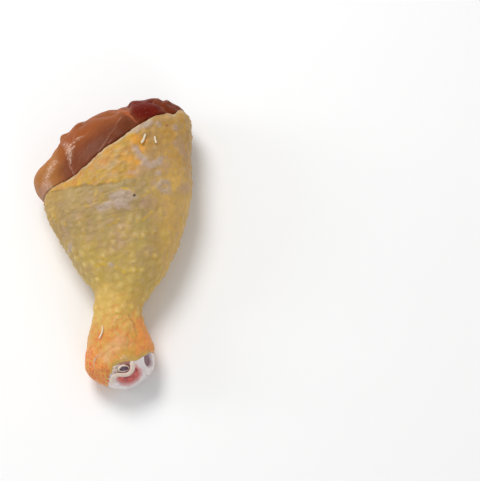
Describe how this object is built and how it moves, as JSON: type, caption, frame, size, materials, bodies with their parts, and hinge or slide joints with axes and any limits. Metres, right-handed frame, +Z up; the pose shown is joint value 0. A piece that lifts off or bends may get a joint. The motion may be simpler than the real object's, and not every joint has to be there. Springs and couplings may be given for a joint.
{
  "type": "raw chicken drumstick",
  "caption": "Raw, skin-on chicken drumstick lying on its side, with bare meat at the thick knee end and the cut ankle bone showing.",
  "frame": {"origin": "middle of the leg's footprint box, on the surface that the leg lies on", "axes": "+Z up, +Y along the leg towards the thick knee end, -Y towards the ankle, +X across the leg"},
  "size_m": [0.0686, 0.1292, 0.039],
  "materials": {
    "skin": "moist, dimpled, slightly translucent yellow skin",
    "meat": "wet, smooth raw muscle",
    "bone": "wet, bluish white cartilage and bone",
    "marrow": "wet, red, spongy",
    "tendon": "wet, smooth, off-white"
  },
  "bodies": {
    "root": {"skin": "skin", "meat": "meat", "bone": "bone", "marrow": "marrow", "tendon": "tendon"}
  },
  "joints": []
}
